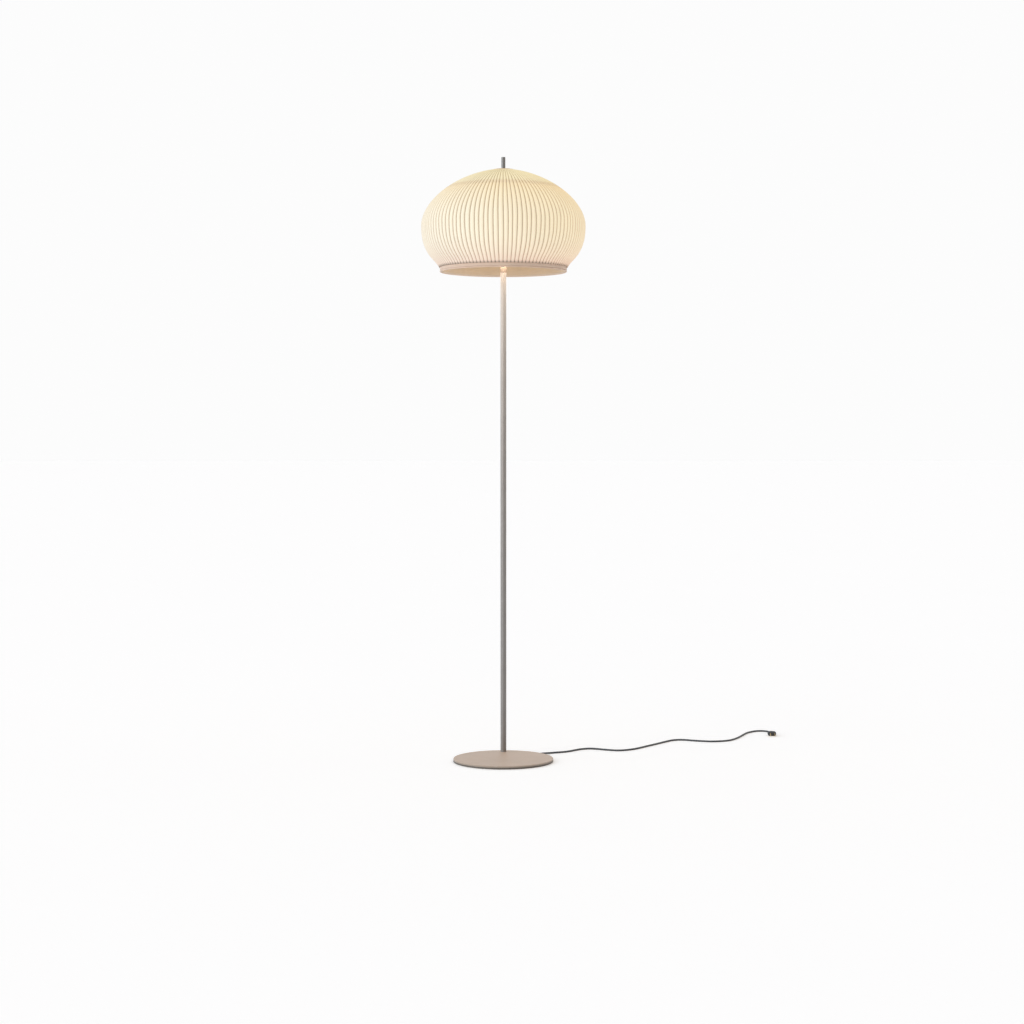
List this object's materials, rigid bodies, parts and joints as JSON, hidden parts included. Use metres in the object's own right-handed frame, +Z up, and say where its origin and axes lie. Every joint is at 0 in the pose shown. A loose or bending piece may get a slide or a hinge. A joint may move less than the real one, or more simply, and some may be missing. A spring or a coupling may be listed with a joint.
{
  "type": "floor lamp",
  "caption": "Floor lamp with a pleated lantern shade on a harp and finial, a slim pole, a round weighted base and a mains lead.",
  "frame": {"origin": "on the floor, on the pole's axis, under the base's pad, 25 mm in front of the plate's rear edge", "axes": "+Z up the pole, +X to the right in the picture, +Y away from the camera"},
  "size_m": [1.0183, 0.6689, 1.632],
  "materials": {
    "base_steel": "satin warm grey lacquer over steel",
    "pad": "matte foam rubber",
    "pole_steel": "satin nickel",
    "plain_steel": "zinc plated",
    "brass": "lacquered",
    "cord_pvc": "matte flexible plastic",
    "conductor": "insulated conductors",
    "phenolic": "moulded",
    "liner": "insulating board",
    "knob": "moulded",
    "bulb_metal": "bright",
    "bulb_base": "moulded insulator",
    "bulb_body": "moulded",
    "bulb_diffuser": "frosted diffuser, lit",
    "frame_wire": "white powder coat",
    "band_fabric": "cloth glued on a rolled strip",
    "shade_cloth": "pleated cloth with a stiff backing"
  },
  "bodies": {
    "stand": {"base_plate": "base_steel", "base_pad": "pad", "base_washer": "plain_steel", "base_nut": "brass", "base_nipple": "brass", "cord_clamp": "plain_steel", "clamp_screws": "plain_steel", "cord_boot": "cord_pvc", "lead_jacket": "cord_pvc", "lead_wires": "conductor", "pole_foot": "plain_steel", "pole_lower": "pole_steel", "pole_coupler": "plain_steel", "pole_upper": "pole_steel", "pole_head": "plain_steel", "harp_saddle": "brass", "holder_nipple": "brass", "harp": "brass", "harp_stud": "brass", "holder_cap": "brass", "holder_body": "phenolic", "holder_terminals": "plain_steel", "holder_thread": "brass", "holder_contact": "brass", "holder_liner": "liner", "holder_shell": "brass", "cord": "cord_pvc", "plug_body": "cord_pvc", "plug_blades": "brass"},
    "shade": {"shade_top_disc": "frame_wire", "shade_struts": "frame_wire", "shade_hoop": "frame_wire", "shade_band": "band_fabric", "shade_fabric": "shade_cloth"},
    "finial": {"finial": "pole_steel"},
    "switch": {"switch_shaft": "brass", "switch_knob": "knob"},
    "bulb": {"bulb_contact": "bulb_metal", "bulb_insulator": "bulb_base", "bulb_cap": "bulb_metal", "bulb_housing": "bulb_body", "bulb_glass": "bulb_diffuser"},
    "sleeve_left": {"harp_sleeve_left": "brass"},
    "sleeve_right": {"harp_sleeve_right": "brass"}
  },
  "joints": [
    {"name": "shade_lift", "type": "slide", "parent": "stand", "child": "shade", "axis": [0, 0, 1], "range_m": [0, 0.3]},
    {"name": "finial_unscrew", "type": "slide", "parent": "shade", "child": "finial", "axis": [0, 0, 1], "range_m": [0, 0.03]},
    {"name": "switch_turn", "type": "hinge", "parent": "stand", "child": "switch", "pos_m": [0, -0.0215, 1.378], "axis": [0, -1, 0], "continuous": true},
    {"name": "bulb_unscrew", "type": "slide", "parent": "stand", "child": "bulb", "axis": [0, 0, 1], "range_m": [0, 0.03]},
    {"name": "sleeve_left_slide", "type": "slide", "parent": "stand", "child": "sleeve_left", "axis": [0, 0, 1], "range_m": [0, 0.017]},
    {"name": "sleeve_right_slide", "type": "slide", "parent": "stand", "child": "sleeve_right", "axis": [0, 0, 1], "range_m": [0, 0.017]}
  ]
}
